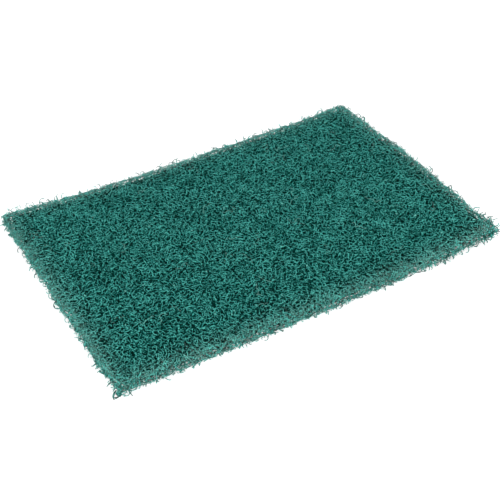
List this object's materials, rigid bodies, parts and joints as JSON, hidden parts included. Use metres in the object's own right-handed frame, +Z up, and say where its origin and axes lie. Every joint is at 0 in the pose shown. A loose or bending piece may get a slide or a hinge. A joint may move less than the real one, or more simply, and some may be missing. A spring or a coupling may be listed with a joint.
{
  "type": "scouring pad",
  "caption": "Rectangular scouring pad of bonded nonwoven nylon web, with a ragged cut edge rounded at both faces, lying flat with its ends slightly lifted.",
  "frame": {"origin": "under the middle of the pad, on the surface that it lies on", "axes": "+Z up, through the pad's thickness; +X along its length, towards the end that lifts more; +Y across its width"},
  "size_m": [0.23, 0.15, 0.0128],
  "materials": {
    "nylon_web": "matte, open web of crimped dark green nylon strands bonded with resin"
  },
  "bodies": {
    "root": {"web_pad": "nylon_web"}
  },
  "joints": []
}
